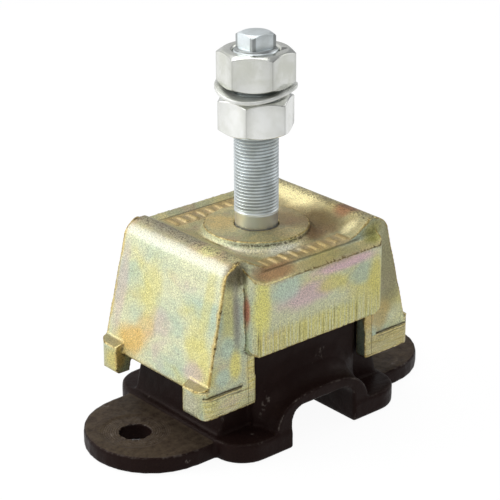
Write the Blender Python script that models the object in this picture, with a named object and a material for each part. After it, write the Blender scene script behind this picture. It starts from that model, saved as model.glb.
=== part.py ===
"""Engine mount: a footed casting, a rubber-bonded bridge cover and a levelling stud.

Metres, +Z up. The origin is on the stud's axis, at the level of the ground face.
+X runs along the row of the two foundation bolts, -Y is the front.
"""

import math

import bmesh
import bpy
from mathutils import Matrix, Vector

# Clearance between pieces that touch on the real object.
FIT_GAP = 0.0003

# Base casting: foot plate.
BOLT_SPACING = 0.140
BOLT_HOLE_D = 0.014
FOOT_T = 0.008
EAR_R = 0.031
EAR_BACK = 0.0103          # ear centre, inward of its bolt hole
EAR_RIM = 0.0008
BODY_T = 0.0095            # the plate between the ears, with its lobes
BODY_RIM = 0.0014
LOBE_R = 0.0146
LOBE_X = 0.0355
LOBE_STEP = 0.0006         # lobe centres, outward of the ears' straight sides

# Base casting: tunnel, hood and core block.
TUNNEL_W = 0.0366
TUNNEL_H = 0.019
TUNNEL_CORNER_R = 0.006
HOOD_WALL = 0.0055
HOOD_SHOULDER = 0.0097     # hood foot, outward of the tunnel's wall
HOOD_RISE = 0.0135         # how far the hood sweeps up to the stop block
HOOD_SETBACK = 0.0006      # hood's ends, inward of the plate's edge
CORE_FOOT_X = 0.0479
CORE_HALF_Y = 0.030
CORE_TOP_Z = 0.0585
CORE_RIM = 0.0012
CORE_SHOULDER_R = 0.003
CORE_FOOT_FILLET = 0.001
WALL_LEAN = math.radians(13.3)
STOP_HALF_X = 0.0305
STOP_HALF_Y = 0.033
STOP_EDGE_R = 0.002
STOP_SINK = 0.0015         # stop block's top, below the core's
ARCH_POWER = 3.0           # how square-shouldered the hood is

# Rubber.
RUBBER_T = 0.0107
RUBBER_LOW_Z = 0.035
RUBBER_HIGH_Z = 0.069
RUBBER_INSET_Y = 0.0012
RUBBER_CORNER_R = 0.0015
RUBBER_RIM = 0.001
BUFFER_T = 0.008
BUFFER_HALF_X = 0.022
BUFFER_HALF_Y = 0.018
BUFFER_CORNER_R = 0.004
BUFFER_RIM = 0.0015

# Cover.
WALL_T = 0.006
SIDE_CLEARANCE = 0.0014    # core to the cover's side walls
STOP_CLEARANCE = 0.0030    # stop block to the panels' inner faces
LEG_CLEARANCE = 0.0020     # stop block to the legs' inner edges
DOWN_TRAVEL = 0.0060       # buffer to the underside of the plate
PLATE_T = 0.011
RIDGE_H = 0.0066
RIDGE_R = 0.010
RIDGE_LIP_R = 0.003
RIDGE_FOOT_X = 0.0245
RIDGE_FOOT_R = 0.016
SIDE_LEAN = math.radians(1.7)
SIDE_CREST_R = 0.002
LEG_BOTTOM_Z = 0.0237
LEG_PAD = 0.0006           # how far the pads stand out at their lower edge
LEG_PAD_H = 0.0130
LEG_LEDGE_H = 0.0007
LEG_RETURN = 0.014         # leg's width on the end faces
LEG_CORNER_R = 0.0045      # pads' upright corners
LEG_TOE_R = 0.002
LEG_EDGE_R = 0.001
RELIEF = 0.0005            # legs' as-forged faces, below their trimmed bands
RELIEF_X = 0.0395
RELIEF_Z = 0.0337
SKIRT_Z = 0.033
SKIRT_RISE = 0.005         # skirt's inner chamfer
SKIRT_R = 0.004
CAVITY_R = 0.006
RECESS_R = 0.005
WINDOW_R = 0.0015
PANEL_HALF_X = 0.0387
PANEL_Z = 0.0472
PANEL_CORNER_R = 0.006
FLANK_R = 0.003            # hollow fillet from the panels' sides to the legs
FLANK_TIP_R = 0.0007
FLANK_TOP_Z = 0.0840
PANEL_SIDE_R = 0.0035      # panels' upright corners
FACET_W = 0.0074
FACET_H = 0.0031
FACET_TOP_R = 0.003
CURL_LEFT_W = 0.0112       # facet's ends, curled up towards the ridges
CURL_LEFT_R = 0.014
CURL_RIGHT_W = 0.0042
CURL_RIGHT_R = 0.005
HOLLOW_R = 0.005           # from the facet up a ridge's end face
HOLLOW_TIP_R = 0.0006
RIM_H = 0.0022
RIM_W = 0.0024
RIM_R = 0.002
RIM_FOOT_W = 0.0096
RIM_FOOT_R = 0.004
STRIP_DROP = 0.0005        # panels' upper strips, below the plate
BITE = 0.0003              # how far a cut or a joined shape passes a flush face
BOSS_R = 0.0236
BOSS_H = 0.0038

# Levelling stud.
THREAD_R = 0.0099
NECK_R = 0.0096
NECK_H = 0.0063
THREAD_LENGTH = 0.0741
THREAD_CHAMFER = 0.0012
HEAD_R = 0.0145
HEAD_T = 0.005
HEAD_CHAMFER = 0.001
SQUARE_AF = 0.0127
SQUARE_TURNED_R = 0.00875
SQUARE_H = 0.0066
SQUARE_CHAMFER_H = 0.0012
SQUARE_TURN = math.radians(-5.0)

# Nuts and curved spring washer.
NUT_AF = 0.030
NUT_H = 0.016
NUT_CHAMFER = math.radians(30)
NUT_FLAT_INSET = 0.0007    # flat ends, inward of the flats
NUT_BORE_CHAMFER = 0.0008
LOWER_NUT_LIFT = 0.0432    # lower nut above the boss
LOWER_NUT_TURN = math.radians(35.3)
UPPER_NUT_TURN = math.radians(13.7)
WASHER_OD = 0.036
WASHER_ID = 0.021
WASHER_T = 0.0016
WASHER_BOW = 0.0037
WASHER_TURN = math.radians(29.7)

# Sizes that follow from the ones above.
BOLT_X = BOLT_SPACING / 2
EAR_X = BOLT_X - EAR_BACK
BASE_HALF_Y = EAR_R + LOBE_STEP + LOBE_R
TUNNEL_HALF = TUNNEL_W / 2
HOOD_TOP_Z = TUNNEL_H + HOOD_WALL
HOOD_FOOT_X = TUNNEL_HALF + HOOD_SHOULDER
INNER_HALF_Y = CORE_HALF_Y + SIDE_CLEARANCE
COVER_HALF_Y = INNER_HALF_Y + WALL_T
PANEL_INNER_Y = STOP_HALF_Y + STOP_CLEARANCE
PANEL_OUTER_Y = PANEL_INNER_Y + WALL_T
LEG_INNER_X = STOP_HALF_X + LEG_CLEARANCE
BUFFER_TOP_Z = CORE_TOP_Z + FIT_GAP + BUFFER_T
PLATE_UNDER_Z = BUFFER_TOP_Z + DOWN_TRAVEL
PLATE_Z = PLATE_UNDER_Z + PLATE_T
BOSS_Z = PLATE_Z + BOSS_H
RIDGE_Z = PLATE_Z + RIDGE_H
STRIP_Z = PLATE_Z - STRIP_DROP
NECK_Z = BOSS_Z + NECK_H
THREAD_Z = NECK_Z + THREAD_LENGTH
NUT_FLAT_R = NUT_AF / 2 - NUT_FLAT_INSET
LOWER_NUT_Z = BOSS_Z + LOWER_NUT_LIFT
WASHER_Z = LOWER_NUT_Z + NUT_H + FIT_GAP
WASHER_LIFT = WASHER_BOW * (NUT_FLAT_R / (WASHER_OD / 2)) ** 2
UPPER_NUT_Z = WASHER_Z + WASHER_T + WASHER_LIFT + FIT_GAP

OVERLAP = 0.002            # how far joined shapes reach into each other
REACH_X = EAR_X + EAR_R + OVERLAP
ARC_STEP = math.radians(12)
BEVEL_STEPS = 3
FILLET_STEPS = 6
CURL_STEPS = 5
MIN_EDGE = 1e-6


def core_x(z):
    """The core's leaning end face, at height z."""
    return CORE_FOOT_X - (z - FOOT_T) * math.tan(WALL_LEAN)


def inner_x(z):
    """The inner face of the cover's end wall, at height z."""
    return core_x(z) + RUBBER_T / math.cos(WALL_LEAN)


def outer_x(z):
    """The outer face of the cover's end wall, at height z."""
    return inner_x(z) + WALL_T / math.cos(WALL_LEAN)


RIDGE_TOP_X = outer_x(RIDGE_Z) - RIDGE_R / math.tan((math.pi / 2 + WALL_LEAN) / 2) - RIDGE_LIP_R / 2


def side_y(z):
    """The outer face of the cover's side wall, at height z."""
    return COVER_HALF_Y - (z - LEG_BOTTOM_Z) * math.tan(SIDE_LEAN)


def material(name, colour, roughness, metallic):
    """A plain finish for one piece."""
    finish = bpy.data.materials.new(name)
    finish.use_nodes = True
    shader = finish.node_tree.nodes["Principled BSDF"]
    shader.inputs["Base Color"].default_value = (*colour, 1)
    shader.inputs["Roughness"].default_value = roughness
    shader.inputs["Metallic"].default_value = metallic
    return finish


def rounded(corners):
    """A closed outline through corners (x, y, radius), each turned with a true arc."""
    points = []
    for index, (x, y, radius) in enumerate(corners):
        corner = Vector((x, y))
        if radius == 0:
            points.append(corner)
            continue
        back = (Vector(corners[index - 1][:2]) - corner).normalized()
        ahead = (Vector(corners[(index + 1) % len(corners)][:2]) - corner).normalized()
        half = back.angle(ahead) / 2
        centre = corner + (back + ahead).normalized() * radius / math.sin(half)
        start = corner + back * radius / math.tan(half) - centre
        end = corner + ahead * radius / math.tan(half) - centre
        sweep = math.atan2(start.x * end.y - start.y * end.x, start.dot(end))
        steps = max(2, math.ceil(abs(sweep) / ARC_STEP))
        points += [centre + Matrix.Rotation(sweep * k / steps, 2) @ start for k in range(steps + 1)]
    return [p for k, p in enumerate(points) if (p - points[k - 1]).length > MIN_EDGE]


def mirrored(half):
    """A closed outline from its right half, listed from the lower end to the upper."""
    return half + [(-x, y, radius) for x, y, radius in reversed(half)]


def from_bmesh(name, bm):
    """An object holding a bmesh, faces turned outwards."""
    bmesh.ops.recalc_face_normals(bm, faces=bm.faces)
    mesh = bpy.data.meshes.new(name)
    bm.to_mesh(mesh)
    bm.free()
    piece = bpy.data.objects.new(name, mesh)
    bpy.context.scene.collection.objects.link(piece)
    return piece


def prism(name, points, axis, low, high, rim=0.0):
    """An outline extruded along an axis, its two rims rounded by a radius if one is given."""
    place = {
        "X": lambda p, at: (at, p[0], p[1]),
        "Y": lambda p, at: (p[0], at, p[1]),
        "Z": lambda p, at: (p[0], p[1], at),
    }[axis]
    bm = bmesh.new()
    near = [bm.verts.new(place(p, low)) for p in points]
    far = [bm.verts.new(place(p, high)) for p in points]
    caps = [bm.faces.new(near), bm.faces.new(far)]
    for k in range(len(points)):
        bm.faces.new((near[k - 1], near[k], far[k], far[k - 1]))
    bmesh.ops.recalc_face_normals(bm, faces=bm.faces)
    if rim:
        edges = {edge for cap in caps for edge in cap.edges}
        bmesh.ops.bevel(bm, geom=list(edges), offset=rim, segments=BEVEL_STEPS, profile=0.5,
                        affect="EDGES", material=-1, clamp_overlap=True)
    return from_bmesh(name, bm)


def box(name, low, high):
    """A box between two opposite corners."""
    return prism(name, [(low[0], low[1]), (high[0], low[1]), (high[0], high[1]), (low[0], high[1])],
                 "Z", low[2], high[2])


def turned(name, profile, segments=48):
    """A solid of revolution about Z from a closed (radius, z) profile."""
    bm = bmesh.new()
    rings = []
    for radius, z in profile:
        if radius == 0:
            rings.append([bm.verts.new((0, 0, z))] * segments)
        else:
            rings.append([bm.verts.new((radius * math.cos(a), radius * math.sin(a), z))
                          for a in (math.tau * k / segments for k in range(segments))])
    for upper, lower in zip(rings, rings[1:] + rings[:1]):
        for k in range(segments):
            loop = [upper[k - 1], upper[k], lower[k], lower[k - 1]]
            corners = [v for n, v in enumerate(loop) if v is not loop[n - 1]]
            if len(corners) > 2:
                bm.faces.new(corners)
    return from_bmesh(name, bm)


def lofted(name, rings):
    """A solid through rings of equal vertex counts, capped at both ends."""
    bm = bmesh.new()
    loops = [[bm.verts.new(p) for p in ring] for ring in rings]
    for near, far in zip(loops, loops[1:]):
        for k in range(len(near)):
            bm.faces.new((near[k - 1], near[k], far[k], far[k - 1]))
    bm.faces.new(loops[0])
    bm.faces.new(loops[-1])
    return from_bmesh(name, bm)


def combine(target, tools, operation):
    """Apply exact Booleans of the tools to the target, and remove the tools."""
    for tool in tools:
        modifier = target.modifiers.new(operation, "BOOLEAN")
        modifier.operation = operation
        modifier.solver = "EXACT"
        modifier.object = tool
    shape = bpy.data.meshes.new_from_object(
        target.evaluated_get(bpy.context.evaluated_depsgraph_get()))
    target.modifiers.clear()
    target.data = shape
    for tool in tools:
        bpy.data.objects.remove(tool)
    return target


def finished(piece, name, finish):
    """Name a piece, give it its material, and shade its round faces smooth."""
    piece.name = name
    piece.data.name = name
    piece.data.materials.clear()
    piece.data.materials.append(finish)
    piece.data.shade_smooth()
    piece.data.set_sharp_from_angle(angle=math.radians(35))
    return piece


def arch(half_width, height, y, steps=22):
    """A round-shouldered arch standing on the ground, at depth y."""
    ring = []
    for k in range(steps + 1):
        angle = math.pi * k / steps
        c, s = math.cos(angle), math.sin(angle)
        ring.append((half_width * math.copysign(abs(c) ** (2 / ARCH_POWER), c), y,
                     max(OVERLAP, height * abs(s) ** (2 / ARCH_POWER))))
    return ring


def hood():
    """The bridge over the tunnel, swept up at front and rear into the stop block."""
    stations = 6
    sides = []
    for side in (-1, 1):
        for k in range(stations + 1):
            share = k / stations
            rise = 1 - math.sqrt(1 - (1 - share) ** 2)
            y = STOP_HALF_Y + share * (BASE_HALF_Y - HOOD_SETBACK - STOP_HALF_Y)
            width = HOOD_FOOT_X + rise * (STOP_HALF_X - HOOD_FOOT_X)
            sides.append((side * y, arch(width, HOOD_TOP_Z + rise * HOOD_RISE, side * y)))
    return lofted("hood", [ring for _, ring in sorted(sides)])


def foot_plate():
    """Two round ears on a thicker body, whose corners are the four round lobes."""
    tip = EAR_X + EAR_R
    ears = prism("foot_plate", rounded(mirrored([(tip, -EAR_R, EAR_R), (tip, EAR_R, EAR_R)])),
                 "Z", 0, FOOT_T, rim=EAR_RIM)
    body_x = LOBE_X + LOBE_R
    body = prism("body", rounded(mirrored([
        (body_x, -BASE_HALF_Y, LOBE_R), (body_x, BASE_HALF_Y, LOBE_R)])),
        "Z", 0, BODY_T, rim=BODY_RIM)
    return combine(ears, [body], "UNION")


def build_base(finish):
    """The footed casting, with its tunnel, hood, stop block and leaning core."""
    base = foot_plate()
    fillet = CORE_FOOT_FILLET
    core = prism("core", rounded(mirrored([
        (core_x(BODY_T) + fillet, OVERLAP, 0), (core_x(BODY_T) + fillet, BODY_T - BITE, 0),
        (core_x(BODY_T + fillet), BODY_T + fillet, 0),
        (core_x(CORE_TOP_Z), CORE_TOP_Z, CORE_SHOULDER_R)])),
        "Y", -CORE_HALF_Y, CORE_HALF_Y, rim=CORE_RIM)
    edge = STOP_EDGE_R
    stop = prism("stop", rounded([
        (STOP_HALF_X, -STOP_HALF_Y, edge), (STOP_HALF_X, STOP_HALF_Y, edge),
        (-STOP_HALF_X, STOP_HALF_Y, edge), (-STOP_HALF_X, -STOP_HALF_Y, edge)]),
        "Z", OVERLAP, CORE_TOP_Z - STOP_SINK)
    combine(base, [core, stop, hood()], "UNION")
    reach = BASE_HALF_Y + OVERLAP
    tunnel = prism("tunnel", rounded(mirrored([
        (TUNNEL_HALF, -OVERLAP, 0), (TUNNEL_HALF, TUNNEL_H, TUNNEL_CORNER_R)])), "Y", -reach, reach)
    holes = []
    for side in (-1, 1):
        hole = turned("bolt_hole", [(0, -OVERLAP), (BOLT_HOLE_D / 2, -OVERLAP),
                                    (BOLT_HOLE_D / 2, FOOT_T + OVERLAP), (0, FOOT_T + OVERLAP)], 36)
        hole.location.x = side * BOLT_X
        holes.append(hole)
    bpy.context.view_layer.update()
    combine(base, [tunnel] + holes, "DIFFERENCE")
    return finished(base, "base_casting", finish)


def build_rubber(name, side, finish):
    """A bonded pad, leaning between the core and the cover's end wall."""
    low, high = RUBBER_LOW_Z, RUBBER_HIGH_Z
    half = CORE_HALF_Y - RUBBER_INSET_Y
    gap = FIT_GAP / math.cos(WALL_LEAN)
    corners = [(core_x(low) + gap, low), (inner_x(low) - gap, low),
               (inner_x(high) - gap, high), (core_x(high) + gap, high)]
    pad = prism(name, rounded([(side * x, z, RUBBER_CORNER_R) for x, z in corners]),
                "Y", -half, half, rim=RUBBER_RIM)
    return finished(pad, name, finish)


def build_buffer(finish):
    """The bump stop, a rubber block on the core's top."""
    pad = prism("buffer", rounded(mirrored([
        (BUFFER_HALF_X, -BUFFER_HALF_Y, BUFFER_CORNER_R),
        (BUFFER_HALF_X, BUFFER_HALF_Y, BUFFER_CORNER_R)])),
        "Z", CORE_TOP_Z + FIT_GAP, BUFFER_TOP_Z, rim=BUFFER_RIM)
    return finished(pad, "rubber_buffer", finish)


def cover_leg(side_x, side_y):
    """An L-shaped leg: a flange on the side, a return on the end face, and a proud foot pad."""
    pad_x = outer_x(LEG_BOTTOM_Z) + LEG_PAD
    pad_top = LEG_BOTTOM_Z + LEG_PAD_H
    ledge = pad_top + LEG_LEDGE_H
    top = PANEL_Z + OVERLAP
    outline = rounded([
        (LEG_INNER_X, LEG_BOTTOM_Z, LEG_EDGE_R), (pad_x, LEG_BOTTOM_Z, LEG_TOE_R),
        (pad_x, pad_top, LEG_EDGE_R / 2),
        (outer_x(ledge) - OVERLAP, ledge + OVERLAP, 0), (outer_x(top) - OVERLAP, top, 0),
        (LEG_INNER_X, top, 0)])
    low, high = sorted((side_y * (COVER_HALF_Y - LEG_RETURN), side_y * (COVER_HALF_Y + 2 * OVERLAP)))
    return prism("leg", [(side_x * x, z) for x, z in outline], "Y", low, high)


def leg_reliefs():
    """The shallow cuts that set the legs' as-forged faces back from their trimmed bands."""
    top = RIDGE_Z + OVERLAP
    cuts = []
    for side in (-1, 1):
        section = rounded([(side * (side_y(RELIEF_Z) - RELIEF), RELIEF_Z, 0),
                           (side * (side_y(RELIEF_Z) + OVERLAP), RELIEF_Z, 0),
                           (side * (side_y(top) + 2 * OVERLAP), top, 0),
                           (side * (side_y(top) - RELIEF), top, 0)])
        cuts.append(prism("relief", section, "X", -REACH_X, -RELIEF_X))
        cuts.append(prism("relief", section, "X", RELIEF_X, REACH_X))
    return cuts


def bridge(reach):
    """The cover's front outline above its legs: leaning end walls rolled over into ridges."""
    return prism("bridge", rounded(mirrored([
        (outer_x(SKIRT_Z), SKIRT_Z, LEG_EDGE_R), (outer_x(RIDGE_Z), RIDGE_Z, RIDGE_R),
        (RIDGE_TOP_X, RIDGE_Z, RIDGE_LIP_R), (RIDGE_FOOT_X, PLATE_Z, RIDGE_FOOT_R)])),
        "Y", -reach, reach)


def cover_body():
    """The bridge on its four legs, its sides leaning and its pads' corners rounded."""
    body = bridge(COVER_HALF_Y + OVERLAP)
    combine(body, [cover_leg(sx, sy) for sx in (-1, 1) for sy in (-1, 1)], "UNION")
    foot, crest = LEG_BOTTOM_Z - OVERLAP, RIDGE_Z + MIN_EDGE
    lean = prism("lean", rounded([
        (-side_y(foot), foot, 0), (side_y(foot), foot, 0),
        (side_y(crest), crest, SIDE_CREST_R), (-side_y(crest), crest, SIDE_CREST_R)]),
        "X", -REACH_X, REACH_X)
    plan_x, plan_y = outer_x(LEG_BOTTOM_Z) + LEG_PAD + BITE, side_y(foot) + BITE
    plan = prism("plan", rounded(mirrored([
        (plan_x, -plan_y, LEG_CORNER_R), (plan_x, plan_y, LEG_CORNER_R)])),
        "Z", foot - OVERLAP, crest + OVERLAP)
    combine(body, [lean, plan], "INTERSECT")
    return combine(body, leg_reliefs(), "DIFFERENCE")


def curl_ring(x, reach, radius):
    """The front facet's section at x, raised as far as its curl has reached."""
    slope = FACET_H / FACET_W
    bend = math.tan((math.pi / 2 - math.atan(slope)) / 2)
    front, face = PANEL_OUTER_Y + OVERLAP, side_y(STRIP_Z) - BITE
    low = STRIP_Z - FACET_H - OVERLAP
    rise = radius - math.sqrt(radius ** 2 - reach ** 2) - BITE
    height = STRIP_Z + rise + (PANEL_OUTER_Y - FACET_W) * slope
    foot = height - face * slope
    hollow = max(HOLLOW_TIP_R, min(HOLLOW_R, (RIDGE_Z - SIDE_CREST_R - foot) / bend))
    top = foot + hollow * bend + BITE
    outline = rounded([
        (face - OVERLAP, low, 0), (front, low, 0), (front, height - front * slope, 0),
        (face, foot, hollow), (face, top, 0), (face - OVERLAP, top, 0)])
    return [(x, -y, z) for y, z in outline]


def curls():
    """The front facet's ends, curled up and hollowed into the ridges' end faces."""
    rings = []
    for side, width, radius in ((-1, CURL_LEFT_W, CURL_LEFT_R), (1, CURL_RIGHT_W, CURL_RIGHT_R)):
        half = [curl_ring(side * (PANEL_HALF_X - width + reach), reach, radius)
                for reach in (width * k / CURL_STEPS for k in range(CURL_STEPS + 1))]
        half.append(curl_ring(side * (PANEL_HALF_X + OVERLAP), width, radius))
        rings += half[::side]
    clip = bridge(PANEL_OUTER_Y + 2 * OVERLAP)
    clip.location.z = -BITE
    bpy.context.view_layer.update()
    return combine(lofted("curls", rings), [clip], "INTERSECT")


def cover_panels():
    """The two proud panels as one block, with a curled facet in front and a rim at the rear."""
    outer, front = PANEL_OUTER_Y, PANEL_OUTER_Y + OVERLAP
    reach = PANEL_HALF_X + OVERLAP
    section = prism("section", rounded([
        (-front, PANEL_Z - OVERLAP, 0), (outer, PANEL_Z - OVERLAP, 0),
        (outer, PLATE_Z + RIM_H, RIM_R), (outer - RIM_W, PLATE_Z + RIM_H, RIM_R),
        (outer - RIM_FOOT_W, STRIP_Z, RIM_FOOT_R), (-outer + FACET_W, STRIP_Z, FACET_TOP_R),
        (-front, STRIP_Z - FACET_H * (front - outer + FACET_W) / FACET_W, 0)]), "X", -reach, reach)
    combine(section, [curls()], "UNION")
    block = prism("panels", rounded(mirrored([
        (PANEL_HALF_X + BITE, PANEL_Z, PANEL_CORNER_R), (PANEL_HALF_X + BITE, RIDGE_Z, 0)])),
        "Y", -front - OVERLAP, front + OVERLAP)
    plan = prism("plan", rounded([
        (-PANEL_HALF_X, -outer, PANEL_SIDE_R), (PANEL_HALF_X, -outer, PANEL_SIDE_R),
        (PANEL_HALF_X, outer + BITE, PANEL_SIDE_R), (-PANEL_HALF_X, outer + BITE, PANEL_SIDE_R)]),
        "Z", PANEL_Z - 2 * OVERLAP, RIDGE_Z + OVERLAP)
    return combine(block, [section, plan], "INTERSECT")


def flank(side_x, side):
    """The hollow fillet between a panel's side and the leg beside it, fading out at both ends."""
    low, high = PANEL_Z + PANEL_CORNER_R / 2, PLATE_Z - FACET_H
    rings = []
    for z, radius in ((low, FLANK_TIP_R), (PANEL_Z + PANEL_CORNER_R, FLANK_R), (high, FLANK_R),
                      (FLANK_TOP_Z, FLANK_TIP_R)):
        base_y = side_y(z) - RELIEF - BITE
        centre_x, centre_y = PANEL_HALF_X - BITE + radius, base_y + radius
        arc = [(centre_x - radius * math.cos(a), centre_y - radius * math.sin(a))
               for a in (math.pi / 2 * k / FILLET_STEPS for k in range(FILLET_STEPS + 1))]
        root_x = PANEL_HALF_X - OVERLAP
        outline = [(root_x, centre_y)] + arc + [(centre_x, base_y - OVERLAP), (root_x, base_y - OVERLAP)]
        rings.append([(side_x * x, side * y, z) for x, y in outline])
    return lofted("flank", rings)


def boss():
    """The round boss under the stud's neck, filleted into the plate."""
    fillet = BOSS_H
    curve = [(BOSS_R + fillet * (1 - math.cos(a)), BOSS_Z - fillet * math.sin(a))
             for a in (math.pi / 2 * k / FILLET_STEPS for k in range(FILLET_STEPS))]
    return turned("boss", [(0, BOSS_Z)] + curve + [(BOSS_R + fillet, PLATE_Z - OVERLAP),
                                                   (0, PLATE_Z - OVERLAP)], 60)


def build_cover(finish):
    """The forged bridge cover that the stud stands in."""
    cover = cover_body()
    flanks = [flank(side_x, side) for side_x in (-1, 1) for side in (-1, 1)]
    combine(cover, [cover_panels(), boss()] + flanks, "UNION")
    low, chamfer_z = LEG_BOTTOM_Z - OVERLAP, SKIRT_Z + SKIRT_RISE
    cavity = prism("cavity", rounded(mirrored([
        (inner_x(SKIRT_Z) + OVERLAP, low, 0), (inner_x(SKIRT_Z) + OVERLAP, LEG_BOTTOM_Z, 0),
        (inner_x(chamfer_z), chamfer_z, SKIRT_R), (inner_x(PLATE_UNDER_Z), PLATE_UNDER_Z, CAVITY_R)])),
        "Y", -INNER_HALF_Y, INNER_HALF_Y)
    recess_x = LEG_INNER_X - BITE
    recess = prism("recess", rounded(mirrored([
        (recess_x, low, 0), (recess_x, PLATE_UNDER_Z - STRIP_DROP, RECESS_R)])),
        "Y", -PANEL_INNER_Y, PANEL_INNER_Y)
    window = prism("window", rounded(mirrored([
        (LEG_INNER_X, low, 0), (LEG_INNER_X, PANEL_Z + BITE, WINDOW_R)])),
        "Y", -PANEL_OUTER_Y - OVERLAP, PANEL_OUTER_Y + OVERLAP)
    bore = turned("bore", [(0, BOSS_Z + OVERLAP), (NECK_R + FIT_GAP, BOSS_Z + OVERLAP),
                           (NECK_R + FIT_GAP, PLATE_UNDER_Z + HEAD_T + FIT_GAP),
                           (HEAD_R + FIT_GAP, PLATE_UNDER_Z + HEAD_T + FIT_GAP),
                           (HEAD_R + FIT_GAP, PLATE_UNDER_Z - OVERLAP), (0, PLATE_UNDER_Z - OVERLAP)])
    combine(cover, [cavity, recess, window, bore], "DIFFERENCE")
    return finished(cover, "top_cover", finish)


def square_drive():
    """The square on the stud's end, its corners turned down."""
    half = SQUARE_AF / 2
    square = prism("square", [(half, -half), (half, half), (-half, half), (-half, -half)],
                   "Z", THREAD_Z - OVERLAP, THREAD_Z + SQUARE_H)
    square.rotation_euler.z = SQUARE_TURN
    top = THREAD_Z + SQUARE_H
    corners = turned("corners", [
        (0, top), (SQUARE_AF / 2 - BITE, top), (SQUARE_TURNED_R, top - SQUARE_CHAMFER_H),
        (SQUARE_TURNED_R, THREAD_Z - OVERLAP / 2), (0, THREAD_Z - OVERLAP / 2)])
    bpy.context.view_layer.update()
    return combine(square, [corners], "INTERSECT")


def build_stud(finish):
    """The stud: a head let into the cover's underside, a plain neck, the thread and a square end."""
    head_z = PLATE_UNDER_Z
    shoulder = head_z + HEAD_T
    stud = turned("stud", [
        (0, THREAD_Z), (THREAD_R - THREAD_CHAMFER, THREAD_Z), (THREAD_R, THREAD_Z - THREAD_CHAMFER),
        (THREAD_R, NECK_Z), (NECK_R, NECK_Z - (THREAD_R - NECK_R)), (NECK_R, shoulder),
        (HEAD_R, shoulder), (HEAD_R, head_z + HEAD_CHAMFER), (HEAD_R - HEAD_CHAMFER, head_z),
        (0, head_z)])
    drive = square_drive()
    drive.data.transform(drive.matrix_world)
    drive.matrix_world = Matrix.Identity(4)
    bpy.context.view_layer.update()
    combine(stud, [drive], "UNION")
    return finished(stud, "stud", finish)


def build_nut(name, z, turn, finish):
    """A hexagon nut, chamfered at both ends, with a clear bore for the thread."""
    corner_r = NUT_AF / 2 / math.cos(math.pi / 6)
    nut = prism(name, [(corner_r * math.cos(a), corner_r * math.sin(a))
                       for a in (math.tau * k / 6 for k in range(6))], "Z", 0, NUT_H)
    beyond = corner_r + OVERLAP / 2
    drop = (beyond - NUT_FLAT_R) * math.tan(NUT_CHAMFER)
    cone = turned("cone", [(0, NUT_H), (NUT_FLAT_R, NUT_H), (beyond, NUT_H - drop),
                           (beyond, drop), (NUT_FLAT_R, 0), (0, 0)], 60)
    combine(nut, [cone], "INTERSECT")
    bore_r = THREAD_R + FIT_GAP
    mouth = bore_r + NUT_BORE_CHAMFER
    bore = turned("bore", [
        (0, NUT_H + OVERLAP), (mouth, NUT_H + OVERLAP), (mouth, NUT_H), (bore_r, NUT_H - NUT_BORE_CHAMFER),
        (bore_r, NUT_BORE_CHAMFER), (mouth, 0), (mouth, -OVERLAP), (0, -OVERLAP)])
    combine(nut, [bore], "DIFFERENCE")
    nut.location.z = z
    nut.rotation_euler.z = turn
    return finished(nut, name, finish)


def build_washer(finish):
    """The curved spring washer: a flat ring bowed about one diameter."""
    bm = bmesh.new()
    radii = [WASHER_ID / 2 + (WASHER_OD - WASHER_ID) / 2 * k / 2 for k in range(3)]
    section = [(r, 0) for r in radii] + [(r, WASHER_T) for r in reversed(radii)]
    segments = 56
    rings = []
    for k in range(segments):
        angle = math.tau * k / segments
        ring = []
        for radius, z in section:
            x, y = radius * math.cos(angle), radius * math.sin(angle)
            ring.append(bm.verts.new((x, y, z + WASHER_BOW * (y / (WASHER_OD / 2)) ** 2)))
        rings.append(ring)
    for k in range(segments):
        for n in range(len(section)):
            bm.faces.new((rings[k - 1][n - 1], rings[k - 1][n], rings[k][n], rings[k][n - 1]))
    washer = from_bmesh("spring_washer", bm)
    washer.location.z = WASHER_Z
    washer.rotation_euler.z = WASHER_TURN
    return finished(washer, "spring_washer", finish)


def build_mount():
    """Every piece of the mount, the moving ones parented up to the cover."""
    for leftover in list(bpy.data.objects):
        bpy.data.objects.remove(leftover)
    black = material("black_paint", (0.012, 0.010, 0.009), 0.42, 0.0)
    rubber = material("black_rubber", (0.010, 0.010, 0.010), 0.75, 0.0)
    gold = material("yellow_zinc", (0.62, 0.55, 0.30), 0.38, 1.0)
    zinc = material("bright_zinc", (0.66, 0.68, 0.70), 0.28, 1.0)
    spring = material("spring_steel", (0.42, 0.43, 0.45), 0.36, 1.0)
    build_base(black)
    build_rubber("rubber_left", -1, rubber)
    build_rubber("rubber_right", 1, rubber)
    build_buffer(rubber)
    cover = build_cover(gold)
    stud = build_stud(zinc)
    lower = build_nut("lower_nut", LOWER_NUT_Z, LOWER_NUT_TURN, zinc)
    washer = build_washer(spring)
    upper = build_nut("upper_nut", UPPER_NUT_Z, UPPER_NUT_TURN, zinc)
    stud.parent = cover
    lower.parent = stud
    upper.parent = stud
    washer.parent = lower
    washer.matrix_parent_inverse = (Matrix.Translation((0, 0, LOWER_NUT_Z))
                                    @ Matrix.Rotation(LOWER_NUT_TURN, 4, "Z")).inverted()


build_mount()
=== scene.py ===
"""Looks of the engine mount: forged cover, black casting, zinc stud, nuts and washer.

Everything is in metres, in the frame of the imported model: +Z up along the stud, +X along
the row of foundation bolts, -Y the front.
"""

import logging
import math
from dataclasses import dataclass, field
from enum import Enum
from functools import reduce
from typing import Callable, Iterable

import bmesh
import bpy
from mathutils import Matrix, Vector, noise


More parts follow.
